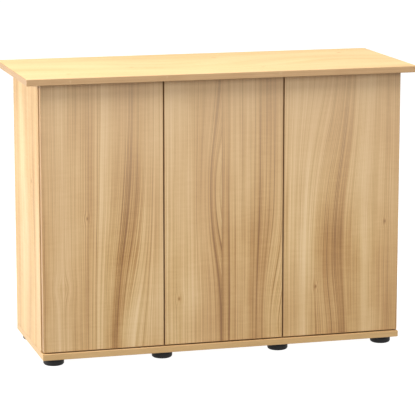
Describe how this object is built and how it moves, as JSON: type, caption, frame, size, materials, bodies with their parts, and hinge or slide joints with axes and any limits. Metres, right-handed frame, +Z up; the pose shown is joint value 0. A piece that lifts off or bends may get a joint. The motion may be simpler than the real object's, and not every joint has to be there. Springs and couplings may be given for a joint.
{
  "type": "aquarium stand cabinet",
  "caption": "Low aquarium stand in light wood decor with handleless push-to-open doors, an overhanging top board and black glides.",
  "frame": {"origin": "on the floor, under the middle of the top board", "axes": "+X to the right seen from the doors, +Y from the doors to the back, +Z up"},
  "size_m": [1.01, 0.41, 0.73],
  "materials": {
    "decor_top": "satin melamine decor, grain along X",
    "decor_base": "satin melamine decor, grain along X",
    "decor_side": "satin melamine decor, upright grain",
    "decor_inner": "satin melamine decor, grain along X",
    "decor_front": "satin melamine decor, upright grain",
    "hardboard": "thin faced hardboard, upright grain",
    "beech": "fluted beech dowel",
    "black_plastic": "moulded, fine grain",
    "grey_plastic": "moulded, satin",
    "magnet_metal": "turned, nickel plated",
    "clear_rubber": "soft, clear",
    "cast_zinc": "die cast",
    "nickel_steel": "pressed, nickel plated",
    "zinc_steel": "bright zinc plated"
  },
  "bodies": {
    "cabinet": {"top_panel": "decor_top", "bottom_panel": "decor_base", "left_side_panel": "decor_side", "right_side_panel": "decor_side", "left_divider": "decor_side", "right_divider": "decor_side", "left_rear_rail": "decor_inner", "middle_rear_rail": "decor_inner", "right_rear_rail": "decor_inner", "left_back_panel": "hardboard", "middle_back_panel": "hardboard", "right_back_panel": "hardboard", "left_shelf": "decor_inner", "right_shelf": "decor_inner", "shelf_pins": "zinc_steel", "cam_locks": "cast_zinc", "cam_bolts": "zinc_steel", "upright_dowels": "beech", "rail_dowels": "beech", "front_glides": "black_plastic", "rear_glides": "black_plastic", "glide_screws": "zinc_steel", "hinge_plates": "nickel_steel", "hinge_plate_screws": "zinc_steel", "hinge_arms": "nickel_steel", "hinge_arm_screws": "zinc_steel", "hinge_arm_pins": "zinc_steel", "latch_housings": "grey_plastic", "latch_screws": "zinc_steel", "latch_springs": "zinc_steel"},
    "left_outer_link": {"left_door_outer_links": "nickel_steel"},
    "left_inner_link": {"left_door_inner_links": "nickel_steel"},
    "left_door": {"left_door": "decor_front", "left_door_hinge_cups": "nickel_steel", "left_door_cup_pins": "zinc_steel", "left_door_cup_screws": "zinc_steel", "left_door_strike_plate": "zinc_steel", "left_door_bumpers": "clear_rubber"},
    "left_plunger": {"left_latch_plunger": "magnet_metal"},
    "middle_outer_link": {"middle_door_outer_links": "nickel_steel"},
    "middle_inner_link": {"middle_door_inner_links": "nickel_steel"},
    "middle_door": {"middle_door": "decor_front", "middle_door_hinge_cups": "nickel_steel", "middle_door_cup_pins": "zinc_steel", "middle_door_cup_screws": "zinc_steel", "middle_door_strike_plate": "zinc_steel", "middle_door_bumpers": "clear_rubber"},
    "middle_plunger": {"middle_latch_plunger": "magnet_metal"},
    "right_outer_link": {"right_door_outer_links": "nickel_steel"},
    "right_inner_link": {"right_door_inner_links": "nickel_steel"},
    "right_door": {"right_door": "decor_front", "right_door_hinge_cups": "nickel_steel", "right_door_cup_pins": "zinc_steel", "right_door_cup_screws": "zinc_steel", "right_door_strike_plate": "zinc_steel", "right_door_bumpers": "clear_rubber"},
    "right_plunger": {"right_latch_plunger": "magnet_metal"}
  },
  "joints": [
    {"name": "left_outer_link_turn", "type": "hinge", "parent": "cabinet", "child": "left_outer_link", "pos_m": [-0.4335, -0.15, 0.375], "axis": [0, 0, 1], "range_deg": [0, 34.5]},
    {"name": "left_door_hinge", "type": "hinge", "parent": "left_outer_link", "child": "left_door", "pos_m": [-0.457, -0.1658, 0.375], "axis": [0, 0, -1], "range_deg": [0, 129.2]},
    {"name": "left_inner_link_turn", "type": "hinge", "parent": "cabinet", "child": "left_inner_link", "pos_m": [-0.4335, -0.1705, 0.375], "axis": [0, 0, 1], "range_deg": [0, 48]},
    {"name": "left_latch_press", "type": "slide", "parent": "cabinet", "child": "left_plunger", "axis": [0, 1, 0], "range_m": [0, 0.0025], "stiffness_N_per_m": 400},
    {"name": "middle_outer_link_turn", "type": "hinge", "parent": "cabinet", "child": "middle_outer_link", "pos_m": [-0.12083, -0.15, 0.375], "axis": [0, 0, 1], "range_deg": [0, 34.5]},
    {"name": "middle_door_hinge", "type": "hinge", "parent": "middle_outer_link", "child": "middle_door", "pos_m": [-0.14433, -0.1658, 0.375], "axis": [0, 0, -1], "range_deg": [0, 129.2]},
    {"name": "middle_inner_link_turn", "type": "hinge", "parent": "cabinet", "child": "middle_inner_link", "pos_m": [-0.12083, -0.1705, 0.375], "axis": [0, 0, 1], "range_deg": [0, 48]},
    {"name": "middle_latch_press", "type": "slide", "parent": "cabinet", "child": "middle_plunger", "axis": [0, 1, 0], "range_m": [0, 0.0025], "stiffness_N_per_m": 400},
    {"name": "right_outer_link_turn", "type": "hinge", "parent": "cabinet", "child": "right_outer_link", "pos_m": [0.4335, -0.15, 0.375], "axis": [0, 0, -1], "range_deg": [0, 34.5]},
    {"name": "right_door_hinge", "type": "hinge", "parent": "right_outer_link", "child": "right_door", "pos_m": [0.457, -0.1658, 0.375], "axis": [0, 0, 1], "range_deg": [0, 129.2]},
    {"name": "right_inner_link_turn", "type": "hinge", "parent": "cabinet", "child": "right_inner_link", "pos_m": [0.4335, -0.1705, 0.375], "axis": [0, 0, -1], "range_deg": [0, 48]},
    {"name": "right_latch_press", "type": "slide", "parent": "cabinet", "child": "right_plunger", "axis": [0, 1, 0], "range_m": [0, 0.0025], "stiffness_N_per_m": 400}
  ],
  "couplings": [
    {"joint": "left_outer_link_turn", "follows": "left_door_hinge", "ratio": 0.26471},
    {"joint": "left_inner_link_turn", "follows": "left_door_hinge", "ratio": 0.36765},
    {"joint": "middle_outer_link_turn", "follows": "middle_door_hinge", "ratio": 0.26471},
    {"joint": "middle_inner_link_turn", "follows": "middle_door_hinge", "ratio": 0.36765},
    {"joint": "right_outer_link_turn", "follows": "right_door_hinge", "ratio": 0.26471},
    {"joint": "right_inner_link_turn", "follows": "right_door_hinge", "ratio": 0.36765}
  ]
}
